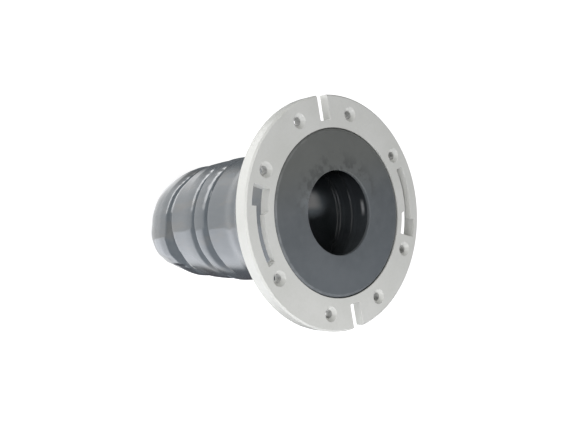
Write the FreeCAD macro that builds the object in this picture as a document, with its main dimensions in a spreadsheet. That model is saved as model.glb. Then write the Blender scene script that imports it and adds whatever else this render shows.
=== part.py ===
import FreeCAD, Part
import math
import os
import re
import Sketcher

# Floor-fixing ring and flexible waste sleeve for a floor-standing toilet.
# The sleeve hangs through the ring, and its top disc lies in the ring's seat.
# Origin: centre of the sleeve's open lower end. +Z runs up the bore axis to the ring.
# The rim notches lie on +Y and -Y, and the closet bolt slots lie about +X and -X.

# Driving dimensions, in millimetres and degrees. Depths run down from the ring's face,
# heights run up from the sleeve's lower end, and angles run anticlockwise from +X.
DIMENSIONS = {
    # Whole connector
    "face_height": 205.0,
    # Ring: plate, rim and hub
    "bolt_circle_radius": 76.2,
    "rim_past_bolts": 12.8,
    "rim_depth": 11.0,
    "rim_wall": 4.6,
    "plate_depth": 9.0,
    "hub_wall": 3.0,
    "face_edge_bevel": 1.3,
    # Ring: countersunk screw holes
    "screw_hole_diameter": 6.4,
    "screw_head_diameter": 11.6,
    "screw_head_angle": 90.0,
    "notch_screw_angle": 20.0,
    "side_screw_angle": 30.0,
    # Ring: rim notches
    "notch_width": 10.4,
    "notch_floor_radius": 69.8,
    "notch_corner_round": 0.8,
    "notch_wall_depth": 7.8,
    "notch_relief": 3.0,
    # Ring: closet bolt slots
    "side_group_turn": 3.0,
    "slot_half_angle": 21.2,
    "slot_wide_angle": 10.7,
    "slot_inner_extra_angle": 3.0,
    "slot_taper_angle": 1.6,
    "slot_half_width": 3.45,
    "channel_half_width": 7.4,
    "slot_lip_depth": 5.0,
    "slot_corner_round": 0.8,
    # Sleeve: disc and its bore
    "disc_radius": 63.9,
    "disc_thickness": 3.6,
    "disc_sink": 0.3,
    "disc_clearance": 0.3,
    "disc_edge_bevel": 1.2,
    "bore_radius": 32.1,
    "bore_lip": 3.4,
    "bore_edge_bevel": 0.8,
    # Sleeve: neck under the disc
    "collar_step": 1.8,
    "collar_clearance": 0.4,
    "collar_depth": 72.0,
    "collar_step_length": 2.0,
    "neck_wall": 8.0,
    "neck_end_depth": 52.0,
    "neck_end_length": 3.0,
    "neck_bead_rise": 1.1,
    "neck_bead_half_length": 3.2,
    "upper_bead_depth": 33.0,
    "lower_bead_depth": 46.5,
    # Sleeve: barbed tube, one step narrower below each barb
    "tube_radius": 53.2,
    "tube_wall": 4.3,
    "barb_groove": 1.5,
    "barb_lip_length": 2.6,
    "barb_rise": 0.5,
    "barb_rise_length": 3.6,
    "barb_crest_length": 9.0,
    "barb_back_length": 3.6,
    "upper_barb_height": 101.6,
    "upper_barb_step": 0.7,
    "middle_barb_height": 80.2,
    "middle_barb_step": 1.1,
    "lower_barb_height": 45.0,
    "lower_barb_step": 1.3,
    "lower_barb_groove": 2.1,
    "lower_barb_rise_length": 16.0,
    "lower_barb_crest_length": 2.0,
    "bore_step_height": 60.0,
    "bore_step_length": 3.4,
    # Sleeve: spigot and its tapered nose
    "spigot_wall": 3.9,
    "nose_height": 14.0,
    "nose_set_in": 2.4,
    "nose_bevel": 4.0,
    "nose_wall": 3.0,
}

doc = FreeCAD.newDocument("toilet_connector")
sheet = doc.addObject("Spreadsheet::Sheet", "sizes")
for row, (name, number) in enumerate(DIMENSIONS.items(), start=1):
    sheet.set("A%d" % row, name)
    sheet.set("B%d" % row, str(number))
    sheet.setAlias("B%d" % row, name)
doc.recompute()


def linked(text):
    """The same expression with each dimension's name pointing at the sheet."""
    return re.sub(r"[a-z]+_[a-z_]+", lambda word: "sizes." + word.group(0), text)


def value(text):
    """The number that an expression of dimensions gives."""
    return float(sheet.evalExpression(text))


def origin_feature(body, role):
    return next(item for item in body.Origin.OriginFeatures if item.Role == role)


def new_sketch(body, name, role, height=None):
    """A sketch on one of the body's origin planes, lifted to a height if one is given."""
    sketch = body.newObject("Sketcher::SketchObject", name)
    sketch.AttachmentSupport = [(origin_feature(body, role), "")]
    sketch.MapMode = "FlatFace"
    if height is not None:
        sketch.AttachmentOffset = FreeCAD.Placement(FreeCAD.Vector(0, 0, value(height)), FreeCAD.Rotation())
        sketch.setExpression("AttachmentOffset.Base.z", linked(height))
    doc.recompute()
    return sketch


def bind(sketch, kind, target, expression):
    """Add a driving constraint whose datum is an expression of the sheet's cells."""
    index = sketch.addConstraint(Sketcher.Constraint(kind, *target, value(expression)))
    sketch.setExpression("Constraints[%d]" % index, linked(expression))


def place_point(sketch, geometry, end, x, y):
    """Fix one point of a sketch at x and y, each an expression measured from the origin."""
    for kind, expression in (("DistanceX", x), ("DistanceY", y)):
        bind(sketch, kind, (-1, 1, geometry, end), expression)


def arc_between(start, end, radius, bulge):
    """A circular arc from start to end that bulges to the left or the right of the straight
    way. A left bulge runs clockwise, and is drawn from its end to keep it anticlockwise."""
    half = (end - start) * 0.5
    side = FreeCAD.Vector(-half.y, half.x, 0)
    side.normalize()
    sag = radius - math.sqrt(radius * radius - half.Length ** 2)
    if bulge == "left":
        return Part.Arc(end, start + half + side * sag, start)
    return Part.Arc(start, start + half - side * sag, end)


def outline(sketch, corners):
    """Draw a closed outline. A corner is (x, y) or (x, y, radius, bulge), where the
    radius and the bulge, left or right, belong to the arc that leaves the corner."""
    points = [FreeCAD.Vector(value(corner[0]), value(corner[1]), 0) for corner in corners]
    sides = []
    ends = []
    for index, corner in enumerate(corners):
        start, end = points[index], points[(index + 1) % len(points)]
        if len(corner) == 2:
            side = Part.LineSegment(start, end)
        else:
            side = arc_between(start, end, value(corner[2]), corner[3])
        sides.append(sketch.addGeometry(side))
        ends.append((2, 1) if corner[3:] == ("left",) else (1, 2))
    for index, corner in enumerate(corners):
        after = (index + 1) % len(sides)
        joint = (sides[index], ends[index][1], sides[after], ends[after][0])
        sketch.addConstraint(Sketcher.Constraint("Coincident", *joint))
        place_point(sketch, sides[index], ends[index][0], corner[0], corner[1])
        if len(corner) > 2:
            bind(sketch, "Radius", (sides[index],), corner[2])
    doc.recompute()


def add(body, kind, name, **settings):
    """Add a feature, set its properties and recompute."""
    feature = body.newObject(kind, name)
    for key, setting in settings.items():
        setattr(feature, key, setting)
    body.Tip = feature
    doc.recompute()
    return feature


def revolve(body, name, sketch):
    return add(body, "PartDesign::Revolution", name, Profile=sketch, Angle=360.0,
               ReferenceAxis=(origin_feature(body, "Z_Axis"), [""]))


def cut_down(body, name, sketch):
    """Cut a sketch's outline from its plane down through the whole body."""
    before = body.Shape.Volume
    pocket = add(body, "PartDesign::Pocket", name, Profile=sketch, Type="ThroughAll")
    if not body.Shape.Volume < before - 1.0:
        raise RuntimeError(name + " removes nothing")
    return pocket


def opposite(body, name, features):
    """Repeat features half a turn away."""
    pattern = body.newObject("PartDesign::PolarPattern", name)
    pattern.Originals = features
    pattern.Axis = (origin_feature(body, "Z_Axis"), [""])
    pattern.Angle = 360.0
    pattern.Occurrences = 2
    body.Tip = pattern
    doc.recompute()
    return pattern


def dress_edges(body, kind, name, edges, property_name, expression):
    """Round or bevel the named edges of the body's present shape."""
    if not edges:
        raise RuntimeError(name + " found no edge")
    base = body.Tip
    dressing = body.newObject(kind, name)
    dressing.Base = (base, edges)
    setattr(dressing, property_name, value(expression))
    dressing.setExpression(property_name, linked(expression))
    body.Tip = dressing
    doc.recompute()


def round_edges(body, name, edges, radius):
    dress_edges(body, "PartDesign::Fillet", name, edges, "Radius", radius)


def bevel_edges(body, name, edges, width):
    dress_edges(body, "PartDesign::Chamfer", name, edges, "Size", width)


def ring_edges(body, places):
    """Names of the circular edges about Z at the given (radius, height) expressions."""
    wanted = [(value(radius), value(height)) for radius, height in places]
    names = []
    for index, edge in enumerate(body.Shape.Edges, start=1):
        if not isinstance(edge.Curve, Part.Circle):
            continue
        centre = edge.Curve.Center
        if math.hypot(centre.x, centre.y) > 1e-4:
            continue
        here = (edge.Curve.Radius, centre.z)
        if any(math.dist(here, place) < 0.01 for place in wanted):
            names.append("Edge%d" % index)
    return names


def upright_edges(body, places):
    """Names of the upright straight edges at the given (x, y) expressions, or half a turn away."""
    wanted = [(value(x), value(y)) for x, y in places]
    wanted += [(-x, -y) for x, y in wanted]
    names = []
    for index, edge in enumerate(body.Shape.Edges, start=1):
        ends = [vertex.Point for vertex in edge.Vertexes]
        if len(ends) != 2 or math.dist(ends[0][:2], ends[1][:2]) > 1e-4:
            continue
        if any(math.dist(ends[0][:2], place) < 0.01 for place in wanted):
            names.append("Edge%d" % index)
    return names


def depth(text):
    """The height of something measured down from the ring's face."""
    return "face_height - (%s)" % text


def polar(radius, angle):
    """The x and y expressions of a point at a radius and an angle."""
    return "(%s) * cos(%s)" % (radius, angle), "(%s) * sin(%s)" % (radius, angle)


# Fits shared by the ring and the sleeve
SEAT_RADIUS = "disc_radius + disc_clearance"
SEAT_DEPTH = "disc_thickness + disc_sink"
COLLAR_RADIUS = "tube_radius + collar_step"
RING_BORE_RADIUS = COLLAR_RADIUS + " + collar_clearance"

# Sizes that follow from the driving ones
RING_RADIUS = "bolt_circle_radius + rim_past_bolts"
NECK_BORE_RADIUS = COLLAR_RADIUS + " - neck_wall"
TUBE_BORE_RADIUS = "tube_radius - tube_wall"
MIDDLE_TUBE_RADIUS = "tube_radius - upper_barb_step"
LOWER_TUBE_RADIUS = MIDDLE_TUBE_RADIUS + " - middle_barb_step"
SPIGOT_RADIUS = LOWER_TUBE_RADIUS + " - lower_barb_step"


def fixing_ring():
    """The rigid ring that screws to the floor and holds the toilet's closet bolts."""
    body = doc.addObject("PartDesign::Body", "fixing_ring")
    body.Label = "fixing_ring"
    hub_radius = "disc_radius + disc_clearance + hub_wall"
    rim_inner = RING_RADIUS + " - rim_wall"

    section = new_sketch(body, "ring_section", "XZ_Plane")
    outline(section, [
        (SEAT_RADIUS, depth("0")),
        (SEAT_RADIUS, depth(SEAT_DEPTH)),
        (RING_BORE_RADIUS, depth(SEAT_DEPTH)),
        (RING_BORE_RADIUS, depth("rim_depth")),
        (hub_radius, depth("rim_depth")),
        (hub_radius, depth("plate_depth")),
        (rim_inner, depth("plate_depth")),
        (rim_inner, depth("rim_depth")),
        (RING_RADIUS, depth("rim_depth")),
        (RING_RADIUS, depth("0")),
    ])
    revolve(body, "ring_blank", section)
    bevel_edges(body, "face_edge", ring_edges(body, [(RING_RADIUS, depth("0"))]), "face_edge_bevel")

    bolt_slots(body)
    rim_notches(body)
    screw_holes(body)
    return body


def bolt_slots(body):
    """Two curved slots on the bolt circle. Each has a wide end that the bolt's head drops
    through, a narrow run for its shank, and a wider channel below the lip for the head. The
    wide end reaches further along on its inner side, where it tapers into the narrow run."""
    closed_end = "slot_half_angle - side_group_turn"
    open_end = "0 - slot_half_angle - side_group_turn"
    outer_step = open_end + " + slot_wide_angle"
    inner_step = outer_step + " + slot_inner_extra_angle"
    taper_end = inner_step + " + slot_taper_angle"
    shank_inner = "bolt_circle_radius - slot_half_width"
    shank_outer = "bolt_circle_radius + slot_half_width"
    head_inner = "bolt_circle_radius - channel_half_width"
    head_outer = "bolt_circle_radius + channel_half_width"

    slot = new_sketch(body, "slot_outline", "XY_Plane", depth("0"))
    outline(slot, [
        polar(shank_inner, closed_end),
        polar(shank_outer, closed_end) + (shank_outer, "left"),
        polar(shank_outer, outer_step),
        polar(head_outer, outer_step) + (head_outer, "left"),
        polar(head_outer, open_end),
        polar(head_inner, open_end) + (head_inner, "right"),
        polar(head_inner, inner_step),
        polar(shank_inner, taper_end) + (shank_inner, "right"),
    ])
    channel = new_sketch(body, "channel_outline", "XY_Plane", depth("slot_lip_depth"))
    outline(channel, [
        polar(head_inner, closed_end),
        polar(head_outer, closed_end) + (head_outer, "left"),
        polar(head_outer, open_end),
        polar(head_inner, open_end) + (head_inner, "right"),
    ])
    cuts = [cut_down(body, "slot_cut", slot), cut_down(body, "channel_cut", channel)]
    opposite(body, "slot_pair", cuts)
    corners = [polar(shank_inner, closed_end), polar(shank_outer, closed_end),
               polar(head_outer, open_end), polar(head_inner, open_end),
               polar(head_inner, closed_end), polar(head_outer, closed_end)]
    round_edges(body, "slot_corners", upright_edges(body, corners), "slot_corner_round")


def notch_outline(half_width):
    """Corners of a straight-sided notch from its floor to past the rim."""
    past_rim = RING_RADIUS + " + notch_width"
    return [
        ("0 - (%s)" % half_width, "notch_floor_radius"),
        (half_width, "notch_floor_radius"),
        (half_width, past_rim),
        ("0 - (%s)" % half_width, past_rim),
    ]


def rim_notches(body):
    """Two square notches, open at the rim, that line the ring up. The plate is thinner and
    the rim's wall stops short beside each one."""
    half_width = "notch_width / 2"
    cuts = []
    for name, top, half in (("notch", "0", half_width),
                            ("notch_relief", "notch_wall_depth", half_width + " + notch_relief")):
        sketch = new_sketch(body, name + "_outline", "XY_Plane", depth(top))
        outline(sketch, notch_outline(half))
        cuts.append(cut_down(body, name + "_cut", sketch))
    opposite(body, "notch_pair", cuts)
    corners = [(half_width, "notch_floor_radius"), ("0 - " + half_width, "notch_floor_radius")]
    round_edges(body, "notch_corners", upright_edges(body, corners), "notch_corner_round")


def screw_holes(body):
    """Eight countersunk holes: one each side of a notch, and one past each end of a slot."""
    centres = new_sketch(body, "screw_centres", "XY_Plane", depth("0"))
    angles = ["90 - notch_screw_angle", "90 + notch_screw_angle",
              "0 - side_group_turn - side_screw_angle", "side_screw_angle - side_group_turn"]
    for angle in angles:
        x, y = polar("bolt_circle_radius", angle)
        spot = Part.Circle(FreeCAD.Vector(value(x), value(y), 0), FreeCAD.Vector(0, 0, 1),
                           value("screw_hole_diameter / 2"))
        circle = centres.addGeometry(spot)
        place_point(centres, circle, 3, x, y)
        bind(centres, "Diameter", (circle,), "screw_hole_diameter")
    doc.recompute()
    before = body.Shape.Volume
    hole = body.newObject("PartDesign::Hole", "screw_hole")
    hole.Profile = centres
    body.Tip = hole
    doc.recompute()
    hole.Threaded = False
    hole.DepthType = "ThroughAll"
    hole.Diameter = value("screw_hole_diameter")
    hole.HoleCutType = "Countersink"
    hole.HoleCutDiameter = value("screw_head_diameter")
    hole.HoleCutCountersinkAngle = value("screw_head_angle")
    hole.setExpression("Diameter", linked("screw_hole_diameter"))
    hole.setExpression("HoleCutDiameter", linked("screw_head_diameter"))
    hole.setExpression("HoleCutCountersinkAngle", linked("screw_head_angle"))
    doc.recompute()
    if not body.Shape.Volume < before - 1.0:
        raise RuntimeError("the screw holes remove nothing")
    opposite(body, "screw_hole_pair", [hole])


def barb_corners(height, radius, radius_below, kind=""):
    """Outer corners of one barb, from its upper side down: the wall drops over a short lip
    into a groove, rises to a level crest and falls back to the wall below. The kind starts
    the names of the sizes that one barb doesn't share with the others."""
    crest = radius + " + barb_rise"
    crest_top = "%s - %sbarb_rise_length" % (height, kind)
    crest_end = "%s - %sbarb_crest_length" % (crest_top, kind)
    return [
        (radius, height + " + barb_lip_length"),
        ("%s - %sbarb_groove" % (radius, kind), height),
        (crest, crest_top),
        (crest, crest_end),
        (radius_below, crest_end + " - barb_back_length"),
    ]


def neck_bead_corners(bead_depth):
    """Inner corners of one bead that stands into the neck's bore, from its lower side up."""
    return [
        (NECK_BORE_RADIUS, depth(bead_depth + " + neck_bead_half_length")),
        (NECK_BORE_RADIUS + " - neck_bead_rise", depth(bead_depth)),
        (NECK_BORE_RADIUS, depth(bead_depth + " - neck_bead_half_length")),
    ]


def flexible_sleeve():
    """The soft one-piece sleeve: a disc with the toilet's outlet hole, a neck inside the
    ring, a barbed tube that tapers down, and a spigot with a rounded nose."""
    body = doc.addObject("PartDesign::Body", "flexible_sleeve")
    body.Label = "flexible_sleeve"
    barbs = [barb_corners("upper_barb_height", "tube_radius", MIDDLE_TUBE_RADIUS),
             barb_corners("middle_barb_height", MIDDLE_TUBE_RADIUS, LOWER_TUBE_RADIUS),
             barb_corners("lower_barb_height", LOWER_TUBE_RADIUS, SPIGOT_RADIUS, "lower_")]
    beads = [neck_bead_corners("lower_bead_depth"), neck_bead_corners("upper_bead_depth")]
    nose_shoulder = SPIGOT_RADIUS + " - nose_set_in"
    spigot_bore = SPIGOT_RADIUS + " - spigot_wall"
    nose_tip = nose_shoulder + " - nose_bevel"
    outer = [
        ("disc_radius", depth("disc_sink")),
        ("disc_radius", depth(SEAT_DEPTH)),
        (COLLAR_RADIUS, depth(SEAT_DEPTH)),
        (COLLAR_RADIUS, depth("collar_depth")),
        ("tube_radius", depth("collar_depth + collar_step_length")),
    ]
    outer += [corner for barb in barbs for corner in barb]
    outer += [
        (SPIGOT_RADIUS, "nose_height"),
        (nose_shoulder, "nose_bevel"),
        (nose_tip, "0"),
    ]
    inner = [
        (nose_tip + " - nose_wall", "0"),
        (spigot_bore, "nose_height"),
        (spigot_bore, "bore_step_height"),
        (TUBE_BORE_RADIUS, "bore_step_height + bore_step_length"),
        (TUBE_BORE_RADIUS, depth("neck_end_depth + neck_end_length")),
        (NECK_BORE_RADIUS, depth("neck_end_depth")),
    ]
    inner += [corner for bead in beads for corner in bead]
    inner += [
        (NECK_BORE_RADIUS, depth("disc_sink + bore_lip")),
        ("bore_radius", depth("disc_sink + bore_lip")),
        ("bore_radius", depth("disc_sink")),
    ]
    section = new_sketch(body, "sleeve_section", "XZ_Plane")
    outline(section, outer + inner)
    revolve(body, "sleeve_blank", section)

    bevel_edges(body, "disc_edge", ring_edges(body, [outer[0]]), "disc_edge_bevel")
    bevel_edges(body, "bore_edge", ring_edges(body, [inner[-1]]), "bore_edge_bevel")
    return body


def check_and_write(bodies):
    """Stop on any failed feature or bad solid, then write one file for each piece."""
    doc.recompute()
    for item in doc.Objects:
        if "Invalid" in item.State or "Error" in item.State:
            raise RuntimeError("%s failed: %s" % (item.Name, item.State))
    for body in bodies:
        shape = body.Shape
        if shape.isNull() or not shape.isValid() or len(shape.Solids) != 1:
            raise RuntimeError(body.Label + " is not one valid solid")
    os.makedirs("parts", exist_ok=True)
    for body in bodies:
        body.Shape.exportStep("parts/%s.step" % body.Label)
        box = body.Shape.optimalBoundingBox()
        print("%s: %.1f cm3, %.1f x %.1f x %.1f mm" % (
            body.Label, body.Shape.Volume / 1000.0, box.XLength, box.YLength, box.ZLength))


pieces = [fixing_ring(), flexible_sleeve()]
for piece in pieces:
    piece.Placement = FreeCAD.Placement()
check_and_write(pieces)
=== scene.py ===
"""A flexible toilet connector: a light grey floor ring that holds a soft dark grey sleeve.

The object stands on its spigot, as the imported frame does. The sleeve is a fine spun mesh,
the ring is the frame's own solid, and both get procedural materials.
The sleeve's section and soft form are given in millimetres, and MM turns them into metres.
Places in the materials and on the stage are metres, in the object's frame.
"""
import math

import bpy
from mathutils import Matrix, Vector


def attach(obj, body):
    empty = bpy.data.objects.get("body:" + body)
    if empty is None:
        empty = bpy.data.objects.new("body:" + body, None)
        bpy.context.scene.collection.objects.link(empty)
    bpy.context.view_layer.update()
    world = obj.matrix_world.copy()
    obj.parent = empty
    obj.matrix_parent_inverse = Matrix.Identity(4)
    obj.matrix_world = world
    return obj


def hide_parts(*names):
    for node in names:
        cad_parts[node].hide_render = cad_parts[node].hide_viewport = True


MM = 0.001

# The photograph's camera
CAMERA_PLACE = (-0.3795, 0.0496, 0.6004)
CAMERA_VIEW = (0.638, -0.0856, -0.765)
CAMERA_UP = (0.1804, 0.9828, 0.0408)
CAMERA_LENS = 45.35
CAMERA_CLIP_START = 0.01
SENSOR_WIDTH = 36.0

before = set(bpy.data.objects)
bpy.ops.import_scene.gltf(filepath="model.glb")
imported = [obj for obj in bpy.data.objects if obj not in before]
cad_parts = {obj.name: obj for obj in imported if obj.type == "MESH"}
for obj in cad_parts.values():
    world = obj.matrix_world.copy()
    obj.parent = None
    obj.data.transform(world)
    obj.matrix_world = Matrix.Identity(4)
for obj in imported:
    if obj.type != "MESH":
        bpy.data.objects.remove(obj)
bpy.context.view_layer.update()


# Small helpers


def held(value):
    """The value, held between 0 and 1."""
    return min(1.0, max(0.0, value))


def aim(obj, place, view, up):
    """Put a camera or lamp at a place, looking along view, with up as its upper side."""
    back = -Vector(view).normalized()
    right = Vector(up).cross(back).normalized()
    top = back.cross(right)
    turn = Matrix((right, top, back)).transposed().to_4x4()
    obj.matrix_world = Matrix.Translation(Vector(place)) @ turn


def link(obj):
    """Put an object into the scene."""
    bpy.context.scene.collection.objects.link(obj)
    return obj


class Nodes:
    """A short way to build a material's or the world's node tree."""

    def __init__(self, tree):
        self.tree = tree
        tree.nodes.clear()

    def add(self, kind, inputs=None, **settings):
        """A new node, with its settings and what goes into its inputs."""
        node = self.tree.nodes.new(kind)
        for name, setting in settings.items():
            setattr(node, name, setting)
        for name, source in (inputs or {}).items():
            self.feed(node, name, source)
        return node

    def feed(self, node, name, source):
        """Link a socket to a node's input, or set the input to a value."""
        if isinstance(source, bpy.types.NodeSocket):
            self.tree.links.new(source, node.inputs[name])
        else:
            node.inputs[name].default_value = source

    def math(self, operation, a, b):
        """The result of a math node."""
        return self.add("ShaderNodeMath", {0: a, 1: b}, operation=operation).outputs[0]

    def times(self, first, *others):
        """The product of all the numbers."""
        for other in others:
            first = self.math("MULTIPLY", first, other)
        return first

    def shares(self, a, b, row):
        """The sum of a and b, each by its share in the row."""
        return self.math("ADD", self.times(a, row[0]), self.times(b, row[1]))

    def step(self, source, low, high, to_low=0.0, to_high=1.0):
        """A smooth step of source from to_low at low to to_high at high."""
        inputs = {
            "Value": source,
            "From Min": low,
            "From Max": high,
            "To Min": to_low,
            "To Max": to_high,
        }
        node = self.add("ShaderNodeMapRange", inputs, interpolation_type="SMOOTHSTEP")
        return node.outputs["Result"]

    def noise(self, row, vector=None):
        """A noise from its row of scale, detail and roughness."""
        scale, detail, roughness = row
        inputs = {"Scale": scale, "Detail": detail, "Roughness": roughness}
        if vector is not None:
            inputs["Vector"] = vector
        return self.add("ShaderNodeTexNoise", inputs).outputs["Fac"]

    def mix(self, factor, a, b):
        """The colour a at factor 0, b at factor 1."""
        node = self.add("ShaderNodeMix", data_type="RGBA")
        self.feed(node, "Factor", factor)
        for socket, source in ((node.inputs[6], a), (node.inputs[7], b)):
            if isinstance(source, bpy.types.NodeSocket):
                self.tree.links.new(source, socket)
            else:
                socket.default_value = (*source, 1.0)
        return node.outputs[2]

    def scaled(self, vector, factor):
        """A vector or colour multiplied by a factor, or by one factor for each part."""
        node = self.add("ShaderNodeVectorMath", {0: vector, 1: factor}, operation="MULTIPLY")
        return node.outputs[0]

    def along(self, vector, direction):
        """How far a vector goes along a direction."""
        inputs = {0: vector, 1: direction}
        node = self.add("ShaderNodeVectorMath", inputs, operation="DOT_PRODUCT")
        return node.outputs["Value"]

    def length(self, vector):
        """A vector's length."""
        node = self.add("ShaderNodeVectorMath", {0: vector}, operation="LENGTH")
        return node.outputs["Value"]

    def places(self):
        """Object coordinates, and their x, y and z."""
        source = self.add("ShaderNodeTexCoord").outputs["Object"]
        return source, self.add("ShaderNodeSeparateXYZ", {"Vector": source}).outputs


# The sleeve's section: radius, height, and how far the corner's rounding reaches

OUTER_SECTION = [
    (61.6, 204.7, 0.4),
    (63.1, 204.1, 0.4),
    (63.9, 203.3, 0.3),
    (63.9, 201.1, 0.5),
    (55.0, 201.1, 0.6),
    (55.2, 145.4, 0.5),
    (54.3, 144.2, 0.4),
    (54.4, 139.0, 3.0),
    (53.1, 129.6, 3.0),
    (53.1, 104.8, 0.6),
    (51.4, 102.7, 0.3),
    (52.6, 100.6, 0.9),
    (53.1, 97.8, 1.6),
    (53.4, 93.5, 3.0),
    (53.4, 88.0, 3.0),
    (53.3, 85.3, 0.5),
    (50.7, 83.5, 0.3),
    (51.8, 80.7, 0.9),
    (52.3, 77.8, 1.6),
    (52.5, 71.0, 4.0),
    (52.1, 62.0, 6.0),
    (51.7, 46.4, 0.7),
    (48.9, 44.7, 0.4),
    (49.5, 39.6, 1.2),
    (50.5, 37.8, 0.9),
    (51.0, 35.4, 1.4),
    (51.4, 27.0, 3.0),
    (50.0, 14.0, 5.0),
    (47.3, 4.0, 4.0),
    (43.7, 0.0, 0.8),
]
INNER_SECTION = [
    (40.7, 0.0, 0.8),
    (46.2, 14.0, 5.0),
    (46.2, 60.0, 1.5),
    (48.9, 63.4, 1.5),
    (48.9, 150.0, 1.0),
    (47.0, 153.0, 1.0),
    (47.0, 155.3, 0.8),
    (45.9, 158.5, 1.5),
    (47.0, 161.7, 0.8),
    (47.0, 168.8, 0.8),
    (45.9, 172.0, 1.5),
    (47.0, 175.2, 0.8),
    (47.0, 201.3, 1.5),
    (32.1, 201.3, 1.0),
    (32.1, 204.7, 0.9),
]

# How finely the section is divided and turned, and the most of an edge that a rounding takes
OUTER_STEP = 1.9
INNER_STEP = 6.0
CORNER_STEPS = 4
CORNER_SHARE = 0.48
TURNS = 300

# The disc is satin above the first height, and the wall of its hole above the second
SATIN_ABOVE = 200.0
LIP_WALL_ABOVE = 201.5


def rounded_corners(corners):
    """The closed section's points, with each corner blended over its own reach."""
    points = []
    count = len(corners)
    for i, (radius, height, reach) in enumerate(corners):
        here = Vector((radius, height))
        before = Vector(corners[i - 1][:2]) - here
        after = Vector(corners[(i + 1) % count][:2]) - here
        start = here + before.normalized() * min(reach, before.length * CORNER_SHARE)
        end = here + after.normalized() * min(reach, after.length * CORNER_SHARE)
        for k in range(CORNER_STEPS + 1):
            t = k / CORNER_STEPS
            points.append(start * (1 - t) ** 2 + here * 2 * t * (1 - t) + end * t * t)
    return points


def sleeve_section():
    """The sleeve's whole section, divided finely outside and more coarsely inside."""
    points = rounded_corners(OUTER_SECTION + INNER_SECTION)
    outside = len(OUTER_SECTION) * (CORNER_STEPS + 1)
    dense = []
    for i, here in enumerate(points):
        there = points[(i + 1) % len(points)]
        step = OUTER_STEP if i < outside else INNER_STEP
        pieces = max(1, round((there - here).length / step))
        dense += [here.lerp(there, k / pieces) for k in range(pieces)]
    return dense


# The sleeve's soft form

# The barbs stand askew, high on the side at this angle and low opposite. The lean sets in
# at LEAN_TOP and grows down the tube. At the end it only lifts the high side.
LEAN_ANGLE = math.radians(79.0)
LEAN_TOP = 131.0
LEAN_STEADY = 104.0
LEAN_STEADY_REACH = 4.0
LEAN_FULL = 36.0
LEAN_FULL_REACH = 5.6
LEAN_END_REACH = 3.0

# On the low side the barbs' lower edges keep their height, and furthest round they rise.
# The widths say over how much of the cosine of the angle that sets in.
EDGE_HEIGHTS = (104.0, 85.0, 46.0)
EDGE_REACH = 2.6
HOLD_WIDTH = 0.25
RISE_FROM = 0.45
RISE_WIDTH = 0.5
RISE_SHARE = 0.9

# The lowest lip leans less on the low side, from the first height to its groove's end
LOW_LIP_FROM = 26.0
LOW_LIP_WIDTH = 8.0
LOW_LIP_SHORTER = 0.55
GROOVE_END = 44.0

# Where the soft end isn't round: the angle in degrees, and how far it stands out there.
# What stands out fades between the heights of END_OUT, and what stands in, END_IN.
END_SHAPE = (
    (79, 0.0),
    (118, -2.0),
    (150, -0.3),
    (168, 0.6),
    (188, 3.2),
    (202, 3.6),
    (213, 2.2),
    (224, -0.4),
    (234, -1.5),
    (252, -0.6),
    (285, 0.0),
)
END_OUT = (38.5, 44.5)
END_IN = (44.0, 64.0)

# Faint waves round the free wall: how high, how many, their twist with height, and start.
# They fade out above WAVES_TOP and below WAVES_LOW, each over its own width.
WAVES = (
    (0.10, 3, 0.031, 0.6),
    (0.06, 5, -0.052, 2.1),
    (0.04, 11, 0.11, 4.0),
    (0.03, 2, 0.21, 0.0),
)
WAVES_TOP = 130.0
WAVES_TOP_WIDTH = 30.0
WAVES_LOW = 6.0
WAVES_LOW_WIDTH = 20.0

# A fine ripple on the lips, unevenly spaced, with a finer one in it: how high each is, and
# how many go round the tube. It ends a little past the high side.
LIP_HEIGHTS = (99.0, 79.0, 38.0)
LIP_REACH = 4.5
RIPPLE = 0.15
RIPPLE_COUNT = 31
RIPPLE_UNEVEN = 2.4
RIPPLE_UNEVEN_COUNT = 7
RIPPLE_FINE = 0.6
RIPPLE_FINE_COUNT = 53
RIPPLE_FINE_START = 1.3
RIPPLE_PAST = 0.2


def soft_lean(angle, height):
    """How far the soft wall is pushed up along the tube at a place."""
    across = math.cos(angle - LEAN_ANGLE)
    edge = max(math.exp(-(((height - place) / EDGE_REACH) ** 2)) for place in EDGE_HEIGHTS)
    past = held((-across - RISE_FROM) / RISE_WIDTH)
    rise = RISE_SHARE * past * past * (3.0 - 2.0 * past)
    hold = held(-across / HOLD_WIDTH) * (1.0 + rise)
    if height < GROOVE_END and across < 0.0:
        across *= 1.0 - LOW_LIP_SHORTER * held((height - LOW_LIP_FROM) / LOW_LIP_WIDTH)
    across *= 1.0 - edge * hold
    if height > LEAN_STEADY:
        fade = max(0.0, (LEAN_TOP - height) / (LEAN_TOP - LEAN_STEADY))
        return LEAN_STEADY_REACH * across * fade
    if height > LEAN_FULL:
        down = (LEAN_STEADY - height) / (LEAN_STEADY - LEAN_FULL)
        return across * (LEAN_STEADY_REACH + (LEAN_FULL_REACH - LEAN_STEADY_REACH) * down)
    end = LEAN_END_REACH * (across + 1.0) / 2.0
    rest = height / LEAN_FULL
    return end * (1.0 - rest) + LEAN_FULL_REACH * across * rest


def end_shape(angle):
    """How far the soft end stands out at an angle, smoothly between the table's rows."""
    degrees = math.degrees(angle) % 360.0
    for (start, low), (stop, high) in zip(END_SHAPE, END_SHAPE[1:]):
        if start <= degrees < stop:
            way = (1.0 - math.cos(math.pi * (degrees - start) / (stop - start))) / 2.0
            return low + (high - low) * way
    return 0.0


def soft_end(angle, height):
    """The end's own shape, faded out up the tube."""
    end = end_shape(angle)
    full, gone = END_OUT if end > 0.0 else END_IN
    return end * held((gone - height) / (gone - full))


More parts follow.
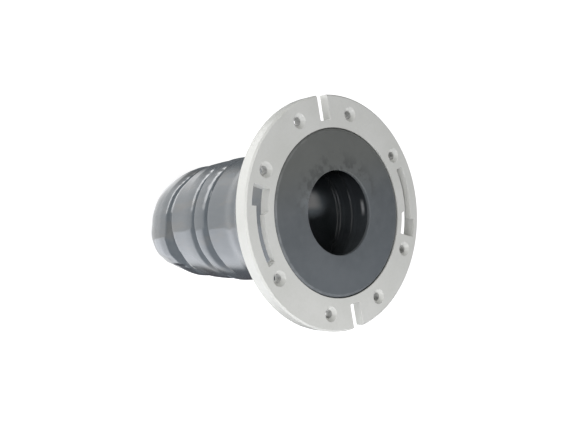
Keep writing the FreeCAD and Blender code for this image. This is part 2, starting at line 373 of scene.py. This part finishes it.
def soft_ripple(angle, height):
    """The fine uneven ripple on the lips' high side."""
    lip = sum(math.exp(-(((height - place) / LIP_REACH) ** 2)) for place in LIP_HEIGHTS)
    uneven = RIPPLE_UNEVEN * math.sin(RIPPLE_UNEVEN_COUNT * angle)
    coarse = math.sin(RIPPLE_COUNT * angle + uneven)
    fine = RIPPLE_FINE * math.sin(RIPPLE_FINE_COUNT * angle + RIPPLE_FINE_START)
    side = held(RIPPLE_PAST + math.cos(angle - LEAN_ANGLE))
    return (coarse + fine) * RIPPLE * lip * side


def soft_wave(angle, height):
    """How far the soft wall stands out or in at a place."""
    free = held((WAVES_TOP - height) / WAVES_TOP_WIDTH)
    free *= held((height - WAVES_LOW) / WAVES_LOW_WIDTH)
    wave = sum(
        high * math.sin(count * angle + height * twist + start)
        for high, count, twist, start in WAVES
    )
    return wave * free + soft_end(angle, height) + soft_ripple(angle, height)


def spun_mesh(name, section, turns):
    """A closed mesh of the section turned round the z axis, with its soft form."""
    rows = len(section)
    points = []
    for turn in range(turns):
        angle = math.tau * turn / turns
        for place in section:
            radius = (place.x + soft_wave(angle, place.y)) * MM
            height = (place.y + soft_lean(angle, place.y)) * MM
            points.append((radius * math.cos(angle), radius * math.sin(angle), height))
    faces = []
    for turn in range(turns):
        here, there = turn * rows, (turn + 1) % turns * rows
        for i in range(rows):
            j = (i + 1) % rows
            faces.append((here + i, here + j, there + j, there + i))
    mesh = bpy.data.meshes.new(name)
    mesh.from_pydata(points, [], faces)
    mesh.update()
    return mesh


def sleeve_slot(face):
    """Which material a face of the sleeve gets: 0 is gloss, 1 satin and 2 inside."""
    inward = face.center.x * face.normal.x + face.center.y * face.normal.y < 0.0
    if inward and face.center.z < LIP_WALL_ABOVE * MM:
        return 2
    if face.center.z > SATIN_ABOVE * MM:
        return 1
    return 0


def make_sleeve(gloss, satin, inside):
    """The sleeve that is seen, in the place of the frame's own solid."""
    mesh = spun_mesh("sleeve_body", sleeve_section(), TURNS)
    mesh.polygons.foreach_set("use_smooth", [True] * len(mesh.polygons))
    for material in (gloss, satin, inside):
        mesh.materials.append(material)
    for face in mesh.polygons:
        face.material_index = sleeve_slot(face)
    sleeve = link(bpy.data.objects.new("sleeve_body", mesh))
    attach(sleeve, "root")
    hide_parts("flexible_sleeve")


# Materials

# A row of two numbers says from where to where a smooth step goes from 0 to 1. A row of
# four goes on with what the step gives at both places. X, Y or Z in a name is the axis.

# Noises, each with its scale, detail and roughness
SLEEVE_CLOUD = (26.0, 3.0, 0.55)
SLEEVE_WARMTH = (55.0, 3.0, 0.6)
SLEEVE_SMUDGES = (120.0, 3.0, 0.6)
SLEEVE_MOTTLE = (160.0, 2.0, 0.5)
SLEEVE_GRAIN = (1500.0, 2.0, 0.6)
RING_CLOUD = (34.0, 3.0, 0.55)
RING_SPECK = (420.0, 2.0, 0.6)
RING_GRAIN = (1900.0, 2.0, 0.6)
BUMP_DISTANCE = 0.0003

# The sleeve's plain colour and relief, and how its flow marks are drawn out along the tube
SLEEVE_DARK = (0.104, 0.118, 0.130)
SLEEVE_LIGHT = (0.132, 0.147, 0.160)
SLEEVE_TONE_SHARES = (0.65, 0.35)
SLEEVE_TONE = (0.3, 0.7)
SLEEVE_SMEAR = (0.35, 0.7, -0.02, 0.04)
SLEEVE_RELIEF_SHARES = (0.6, 0.25)
SLEEVE_BUMP = 0.06
SLEEVE_IOR = 1.54
DISC_TINT = (1.13, 1.09, 1.05)
NO_TINT = (1.0, 1.0, 1.0)
FLOW_STRETCH = (1.0, 1.0, 0.35)
FLAT = (1.0, 1.0, 0.0)

# The tube: a clear coat that is duller under the ring, and warm mottling below the disc
COAT_Z = (0.150, 0.172, 1.0, 0.25)
WARM_PATCHES = (0.47, 0.66, 0.0, 0.55)
WARM_Z = (0.2, 0.19)
WARM_COLOUR = (0.150, 0.147, 0.138)

# The disc's face: a broken painted highlight along its edge, mostly on the side the light
# comes from
FACE_Z = (0.2025, 0.2035)
EDGE_HIGHLIGHT_INNER = (0.0610, 0.0617)
EDGE_HIGHLIGHT_OUTER = (0.0634, 0.0628)
EDGE_HIGHLIGHT_X = (0.03, -0.05, 0.1, 1.0)
EDGE_HIGHLIGHT_BREAKS = (0.3, 0.6, 0.3, 0.8)
EDGE_HIGHLIGHT_COLOUR = (0.28, 0.29, 0.30)

# The disc's face: warmer at the top, lighter and cooler below with painted light, and smudges
# round the outlet hole
DRY_Y = (0.0, 0.045)
DRY_STRENGTH = 0.5
DRY_COLOUR = (0.165, 0.164, 0.140)
PAINTED_LIGHT_Y = (0.02, -0.06)
PAINTED_LIGHT_STRENGTH = 0.35
PAINTED_LIGHT_COLOUR = (0.150, 0.172, 0.195)
SMUDGE_PATCHES = (0.48, 0.62)
SMUDGE_REACH = (0.050, 0.037)
SMUDGE_Y = (0.0, 0.02, 0.12, 0.62)
SMUDGE_COLOUR = (0.082, 0.085, 0.082)

# The inside: darkened by painted shade, least on the side that the light reaches, and less low
# down
LIT_SIDE = (0.559, -0.829, 0.0)
INSIDE_PAINTED_SHADE_SIDE = (-0.005, 0.036, 0.03, 1.0)
INSIDE_PAINTED_SHADE_Z = (0.115, 0.155, 2.6, 1.0)

# The inside's painted light patch and painted highlight streak, on the side of FAR_X
FAR_X = (0.0, 0.02)
PAINTED_LIGHT_PATCH_Z = (0.135, 0.122)
PAINTED_LIGHT_PATCH_LOW_Y = (-0.004, 0.002)
PAINTED_LIGHT_PATCH_HIGH_Y = (0.018, 0.008)
PAINTED_LIGHT_PATCH_COLOUR = (0.6, 0.6, 0.6)
PAINTED_HIGHLIGHT_LOW_Z = (0.1800, 0.1822)
PAINTED_HIGHLIGHT_HIGH_Z = (0.1852, 0.1830)
PAINTED_HIGHLIGHT_LOW_Y = (-0.011, -0.004)
PAINTED_HIGHLIGHT_HIGH_Y = (0.005, -0.001)
PAINTED_HIGHLIGHT_COLOUR = (0.85, 0.86, 0.88)

# The ring's colour, roughness, painted shade in its creases, and relief
RING_DARK = (0.656, 0.659, 0.626)
RING_LIGHT = (0.711, 0.712, 0.685)
RING_TONE_SHARES = (0.7, 0.3)
RING_TONE = (0.3, 0.7)
RING_ROUGHNESS = (0.3, 0.75, 0.34, 0.46)
RING_PAINTED_SHADE_REACH = 0.012
RING_PAINTED_SHADE = (0.10, 0.44, 0.04, 1.0)
RING_RELIEF_SHARES = (0.5, 0.35)
RING_BUMP = 0.10
RING_IOR = 1.5


def new_material(name):
    """A material with an empty node tree."""
    made = bpy.data.materials.new(name)
    made.use_nodes = True
    return made, Nodes(made.node_tree)


def plastic_shader(n, colour, roughness, height, bump_strength, ior):
    """A moulded plastic's shader, with a fine relief from height, joined to the output."""
    relief = {"Height": height, "Strength": bump_strength, "Distance": BUMP_DISTANCE}
    bump = n.add("ShaderNodeBump", relief)
    shader = n.add(
        "ShaderNodeBsdfPrincipled",
        {"Base Color": colour, "Roughness": roughness, "Normal": bump.outputs[0]},
    )
    shader.inputs["IOR"].default_value = ior
    n.add("ShaderNodeOutputMaterial", {"Surface": shader.outputs[0]})
    return shader


def warm_mottling(n, colour, flow, part):
    """Faint warm patches on the tube."""
    warm = n.step(n.noise(SLEEVE_WARMTH, flow), *WARM_PATCHES)
    return n.mix(n.times(warm, n.step(part["Z"], *WARM_Z)), colour, WARM_COLOUR)


def painted_edge_highlight(n, colour, face, reach, part, mottle):
    """A broken painted highlight at the edge of the disc's face."""
    # Painted highlight: a light line on the disc's edge, mostly on its lit side.
    edge_highlight = n.times(n.step(reach, *EDGE_HIGHLIGHT_INNER), n.step(reach, *EDGE_HIGHLIGHT_OUTER), face)
    edge_highlight = n.times(edge_highlight, n.step(part["X"], *EDGE_HIGHLIGHT_X), n.step(mottle, *EDGE_HIGHLIGHT_BREAKS))
    return n.mix(edge_highlight, colour, EDGE_HIGHLIGHT_COLOUR)


def face_marks(n, colour, source, flow, part, mottle):
    """The marks of the disc's face, with its painted edge highlight and the painted light
    below.
    """
    face = n.step(part["Z"], *FACE_Z)
    reach = n.length(n.scaled(source, FLAT))
    colour = painted_edge_highlight(n, colour, face, reach, part, mottle)
    dry = n.times(n.step(part["Y"], *DRY_Y), face, DRY_STRENGTH)
    colour = n.mix(dry, colour, DRY_COLOUR)
    patch = n.step(n.noise(SLEEVE_SMUDGES, flow), *SMUDGE_PATCHES)
    smudge = n.times(patch, n.step(reach, *SMUDGE_REACH), n.step(part["Y"], *SMUDGE_Y), face)
    colour = n.mix(smudge, colour, SMUDGE_COLOUR)
    # Painted light: the lower part of the disc's face is lighter and bluer.
    painted_light = n.times(n.step(part["Y"], *PAINTED_LIGHT_Y), face, PAINTED_LIGHT_STRENGTH)
    return n.mix(painted_light, colour, PAINTED_LIGHT_COLOUR)


def inside_marks(n, colour, source, part):
    """The inside's painted shade, with its painted light patch and its painted highlight
    streak.
    """
    # Painted shade: the inside is darkened away from the lit side, less so low down.
    painted_inside_shade = n.step(n.along(source, LIT_SIDE), *INSIDE_PAINTED_SHADE_SIDE)
    colour = n.scaled(colour, n.times(painted_inside_shade, n.step(part["Z"], *INSIDE_PAINTED_SHADE_Z)))
    far = n.step(part["X"], *FAR_X)
    # Painted light: a pale patch on the far wall, where the bore lamp also shines.
    painted_light_patch = n.times(
        n.step(part["Z"], *PAINTED_LIGHT_PATCH_Z),
        n.step(part["Y"], *PAINTED_LIGHT_PATCH_LOW_Y),
        n.step(part["Y"], *PAINTED_LIGHT_PATCH_HIGH_Y),
        far,
    )
    colour = n.mix(painted_light_patch, colour, PAINTED_LIGHT_PATCH_COLOUR)
    # Painted highlight: a light streak on the far wall.
    painted_highlight = n.times(
        n.step(part["Z"], *PAINTED_HIGHLIGHT_LOW_Z),
        n.step(part["Z"], *PAINTED_HIGHLIGHT_HIGH_Z),
        n.step(part["Y"], *PAINTED_HIGHLIGHT_LOW_Y),
        n.step(part["Y"], *PAINTED_HIGHLIGHT_HIGH_Y),
        far,
    )
    return n.mix(painted_highlight, colour, PAINTED_HIGHLIGHT_COLOUR)


def sleeve_material(name, roughness, tint=NO_TINT, inside=False):
    """Soft grey PVC with faint flow marks. Gives the material, its nodes, its shader and
    the parts of its coordinates."""
    made, n = new_material(name)
    source, part = n.places()
    flow = n.scaled(source, FLOW_STRETCH)
    cloud = n.noise(SLEEVE_CLOUD, flow)
    mottle = n.noise(SLEEVE_MOTTLE, flow)
    grain = n.noise(SLEEVE_GRAIN)
    dark = [x * share for x, share in zip(SLEEVE_DARK, tint)]
    light = [x * share for x, share in zip(SLEEVE_LIGHT, tint)]
    tone = n.step(n.shares(cloud, mottle, SLEEVE_TONE_SHARES), *SLEEVE_TONE)
    colour = n.mix(tone, dark, light)
    if inside:
        colour = inside_marks(n, colour, source, part)
    else:
        colour = warm_mottling(n, colour, flow, part)
        colour = face_marks(n, colour, source, flow, part, mottle)
    rough = n.math("ADD", n.step(cloud, *SLEEVE_SMEAR), roughness)
    height = n.shares(mottle, grain, SLEEVE_RELIEF_SHARES)
    shader = plastic_shader(n, colour, rough, height, SLEEVE_BUMP, SLEEVE_IOR)
    return made, n, shader, part


def gloss_material():
    """The tube: glossy, with a clear coat that is duller under the ring."""
    made, n, shader, part = sleeve_material("sleeve_gloss", roughness=0.11)
    shader.inputs["Coat Weight"].default_value = 1.0
    shader.inputs["Coat Roughness"].default_value = 0.05
    n.feed(shader, "Coat Weight", n.step(part["Z"], *COAT_Z))
    return made


def satin_material():
    """The disc: satin, and a little lighter and warmer than the tube."""
    made, _, shader, _ = sleeve_material("sleeve_satin", roughness=0.42, tint=DISC_TINT)
    shader.inputs["Coat Weight"].default_value = 0.35
    shader.inputs["Coat Roughness"].default_value = 0.16
    return made


def inside_material():
    """The inside: dark with painted shade, with little shine and no coat."""
    made, _, shader, _ = sleeve_material("sleeve_inside", roughness=0.2, inside=True)
    shader.inputs["Specular IOR Level"].default_value = 0.06
    shader.inputs["Coat Weight"].default_value = 0.0
    shader.inputs["Coat Roughness"].default_value = 0.1
    return made


def ring_material():
    """Rigid light grey plastic, satin, with a faint cloud in its colour, a fine grain and
    painted shade in its creases and holes."""
    made, n = new_material("ring_plastic")
    source, _ = n.places()
    cloud = n.noise(RING_CLOUD, source)
    speck = n.noise(RING_SPECK, source)
    grain = n.noise(RING_GRAIN)
    tone = n.step(n.shares(cloud, speck, RING_TONE_SHARES), *RING_TONE)
    colour = n.mix(tone, RING_DARK, RING_LIGHT)
    # Painted shade: ambient occlusion darkens the colour in creases, holes and slots.
    painted_crease_shade = n.add("ShaderNodeAmbientOcclusion", {"Distance": RING_PAINTED_SHADE_REACH}, samples=8)
    colour = n.scaled(colour, n.step(painted_crease_shade.outputs["AO"], *RING_PAINTED_SHADE))
    rough = n.step(cloud, *RING_ROUGHNESS)
    height = n.shares(speck, grain, RING_RELIEF_SHARES)
    shader = plastic_shader(n, colour, rough, height, RING_BUMP, RING_IOR)
    shader.inputs["Coat Weight"].default_value = 0.5
    shader.inputs["Coat Roughness"].default_value = 0.2
    return made


def dress_ring(material):
    """Give the ring's own solid its material."""
    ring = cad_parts["fixing_ring"]
    ring.data.materials.clear()
    ring.data.materials.append(material)
    for slot in ring.material_slots:
        slot.material = material


# Stage

# The world's rows are like the materials' rows, but they are for a direction: its x, its
# z, or its rise, which is how far it goes up as the photograph stands.

# White as a node's own input takes it, with alpha
WHITE = (1.0, 1.0, 1.0, 1.0)

# The soft room that lights the object: brighter below, darker towards the floor
SOFT_RISE = (0.15, -0.35)
SOFT_ABOVE = (0.27, 0.27, 0.26)
SOFT_BELOW = (0.84, 0.85, 0.89)
SOFT_DARK_Z = (-0.1, -0.9, 0.0, 0.65)
SOFT_DARK = (0.0, 0.0, 0.0)

# The wall that glossy surfaces mirror, and its upright part
WALL_Z = (-0.50, -0.70)
WALL_HIGH = (0.20, 0.225, 0.25)
WALL_LOW = (0.94, 0.95, 0.96)
UPRIGHT_Z = (-0.30, -0.10)
UPRIGHT_RISE = (-0.05, -0.15)
UPRIGHT_ABOVE = (0.11, 0.12, 0.13)
UPRIGHT_BELOW = (0.34, 0.36, 0.39)

# Two dark places on the wall, which leave out what lies straight under the object
DARK_Z = (-0.90, -0.84)
SIDE_X = (-0.12, 0.40)
SIDE_STRENGTH = 0.9
SIDE_COLOUR = (0.04, 0.05, 0.06)
UNDER_RISE = (-0.05, -0.20)
UNDER_X = (-0.1, 0.20)
UNDER_COLOUR = (0.05, 0.05, 0.06)

# A bright strip on the wall
STRIP_LOW_Z = (-0.78, -0.73)
STRIP_HIGH_Z = (-0.58, -0.64)
STRIP_RISE = (0.10, 0.40)
STRIP_X = (0.20, 0.02)
STRIP_COLOUR = (3.2, 3.2, 3.25)

# The pale bench below the wall, with a plain edge between them
BENCH_RISE = (-0.192, -0.208)
BENCH_X = (0.14, -0.20)
BENCH_Z = (-0.10, -0.40)
BENCH_TONE_Z = (-0.66, -0.82)
BENCH_DARK = (0.24, 0.265, 0.30)
BENCH_LIGHT = (1.52, 1.56, 1.64)

# The area lamps: place, width and height, power in watts, and whether gloss mirrors them
SOFTBOXES = (
    ("lamp_top", (-0.25, 1.2, 0.42), (0.22, 0.8), 2.4, False),
    ("lamp_corner", (-0.85, 0.85, 0.42), (0.22, 0.8), 3.2, True),
    ("lamp_front", (-0.11, -0.32, 0.48), (0.15, 0.15), 0.62, False),
    ("lamp_side", (-0.55, -0.75, 0.22), (0.2, 0.2), 1.0, False),
    ("lamp_left", (-0.96, 0.36, 0.12), (0.25, 0.25), 2.2, False),
    ("lamp_glint_upper", (-0.70, 0.04, 0.74), (0.05, 0.05), 0.3, True),
    ("lamp_glint_lower", (-0.66, -0.20, 0.74), (0.05, 0.05), 0.3, True),
)
SOFTBOX_TARGET = (0.0, 0.0, 0.1)

# The lamp that shines down the bore, with its power in watts and its beam in degrees
BORE_LAMP_PLACE = (-0.38, 0.052, 0.605)
BORE_LAMP_TARGET = (0.049, 0.004, 0.121)
BORE_LAMP_POWER = 4.5
BORE_LAMP_BEAM = 2.3
BORE_LAMP_FADE = 0.5
BORE_LAMP_RADIUS = 0.004

# The floor: half its side, its colour, and how much brighter it looks than it is lit
FLOOR_HALF = 6.0
FLOOR_COLOUR = (0.8, 0.8, 0.8, 1.0)
FLOOR_LIFT = 0.7


def soft_room(n, rise, part):
    """What lights the object's diffuse surfaces."""
    soft = n.mix(n.step(rise, *SOFT_RISE), SOFT_ABOVE, SOFT_BELOW)
    return n.mix(n.step(part["Z"], *SOFT_DARK_Z), soft, SOFT_DARK)


def mirrored_wall(n, rise, part):
    """The wall that glossy surfaces mirror."""
    wall = n.mix(n.step(part["Z"], *WALL_Z), WALL_HIGH, WALL_LOW)
    upright = n.mix(n.step(rise, *UPRIGHT_RISE), UPRIGHT_ABOVE, UPRIGHT_BELOW)
    wall = n.mix(n.step(part["Z"], *UPRIGHT_Z), wall, upright)
    aside = n.step(part["Z"], *DARK_Z)
    side = n.times(n.step(part["X"], *SIDE_X), SIDE_STRENGTH, aside)
    wall = n.mix(side, wall, SIDE_COLOUR)
    under = n.times(n.step(rise, *UNDER_RISE), n.step(part["X"], *UNDER_X), aside)
    wall = n.mix(under, wall, UNDER_COLOUR)
    strip = n.times(
        n.step(part["Z"], *STRIP_LOW_Z),
        n.step(part["Z"], *STRIP_HIGH_Z),
        n.step(rise, *STRIP_RISE),
        n.step(part["X"], *STRIP_X),
    )
    return n.mix(strip, wall, STRIP_COLOUR)


def mirrored_room(n, rise, part):
    """What glossy surfaces mirror: the wall, and the pale bench below it."""
    tone = n.mix(n.step(part["Z"], *BENCH_TONE_Z), BENCH_DARK, BENCH_LIGHT)
    bench = n.times(
        n.step(rise, *BENCH_RISE),
        n.step(part["X"], *BENCH_X),
        n.step(part["Z"], *BENCH_Z),
    )
    return n.mix(bench, mirrored_wall(n, rise, part), tone)


def world_light():
    """A pale studio: white behind the object, a soft room around it for diffuse surfaces,
    and a wall and a bench for glossy ones."""
    world = bpy.data.worlds.new("studio")
    world.use_nodes = True
    world.cycles.sampling_method = "NONE"
    bpy.context.scene.world = world
    n = Nodes(world.node_tree)
    direction = n.add("ShaderNodeTexCoord").outputs["Generated"]
    part = n.add("ShaderNodeSeparateXYZ", {"Vector": direction}).outputs
    rise = n.along(direction, CAMERA_UP)
    path = n.add("ShaderNodeLightPath").outputs
    room = n.mix(path["Is Glossy Ray"], soft_room(n, rise, part), mirrored_room(n, rise, part))
    light = n.add("ShaderNodeBackground", {"Color": room, "Strength": 1.0})
    white = n.add("ShaderNodeBackground", {"Color": WHITE, "Strength": 1.0})
    inputs = {0: path["Is Camera Ray"], 1: light.outputs[0], 2: white.outputs[0]}
    both = n.add("ShaderNodeMixShader", inputs)
    n.add("ShaderNodeOutputWorld", {"Surface": both.outputs[0]})


def softbox(name, place, size, power, glossy):
    """A rectangular area lamp that faces the object, with its long side along z."""
    data = bpy.data.lights.new(name, "AREA")
    data.shape = "RECTANGLE"
    data.size, data.size_y = size
    data.energy = power
    lamp = link(bpy.data.objects.new(name, data))
    aim(lamp, place, Vector(SOFTBOX_TARGET) - Vector(place), (0.0, 0.0, 1.0))
    lamp.visible_glossy = glossy


def bore_lamp():
    """A narrow beam down the bore, onto the wall opposite."""
    data = bpy.data.lights.new("lamp_bore", "SPOT")
    data.energy = BORE_LAMP_POWER
    data.spot_size = math.radians(BORE_LAMP_BEAM)
    data.spot_blend = BORE_LAMP_FADE
    data.shadow_soft_size = BORE_LAMP_RADIUS
    lamp = link(bpy.data.objects.new("lamp_bore", data))
    view = Vector(BORE_LAMP_TARGET) - Vector(BORE_LAMP_PLACE)
    aim(lamp, BORE_LAMP_PLACE, view, (0.0, 1.0, 0.0))


def floor_material():
    """A pale floor that the camera sees as white, with the object's shadow kept."""
    made, n = new_material("pale_floor")
    lit = n.add("ShaderNodeBsdfDiffuse", {"Color": FLOOR_COLOUR})
    seen = n.add("ShaderNodeLightPath").outputs["Is Camera Ray"]
    lift = n.times(seen, FLOOR_LIFT)
    glow = n.add("ShaderNodeEmission", {"Color": WHITE, "Strength": lift})
    both = n.add("ShaderNodeAddShader", {0: lit.outputs[0], 1: glow.outputs[0]})
    n.add("ShaderNodeOutputMaterial", {"Surface": both.outputs[0]})
    return made


def make_floor():
    """A large plain floor, which glossy surfaces don't mirror."""
    half = FLOOR_HALF
    mesh = bpy.data.meshes.new("floor")
    corners = [(-half, -half, 0.0), (half, -half, 0.0), (half, half, 0.0), (-half, half, 0.0)]
    mesh.from_pydata(corners, [], [(0, 1, 2, 3)])
    mesh.materials.append(floor_material())
    floor = link(bpy.data.objects.new("floor", mesh))
    floor.visible_glossy = False
    floor.visible_transmission = False


def make_camera():
    """The photograph's camera."""
    data = bpy.data.cameras.new("photo_camera")
    data.sensor_fit = "HORIZONTAL"
    data.sensor_width = SENSOR_WIDTH
    data.lens = CAMERA_LENS
    data.clip_start = CAMERA_CLIP_START
    camera = link(bpy.data.objects.new("photo_camera", data))
    aim(camera, CAMERA_PLACE, CAMERA_VIEW, CAMERA_UP)
    bpy.context.scene.camera = camera


def make_stage():
    """The world, floor, camera and lamps."""
    bpy.context.scene.view_settings.view_transform = "Standard"
    world_light()
    make_floor()
    make_camera()
    for row in SOFTBOXES:
        softbox(*row)
    bore_lamp()


make_stage()
make_sleeve(gloss_material(), satin_material(), inside_material())
dress_ring(ring_material())
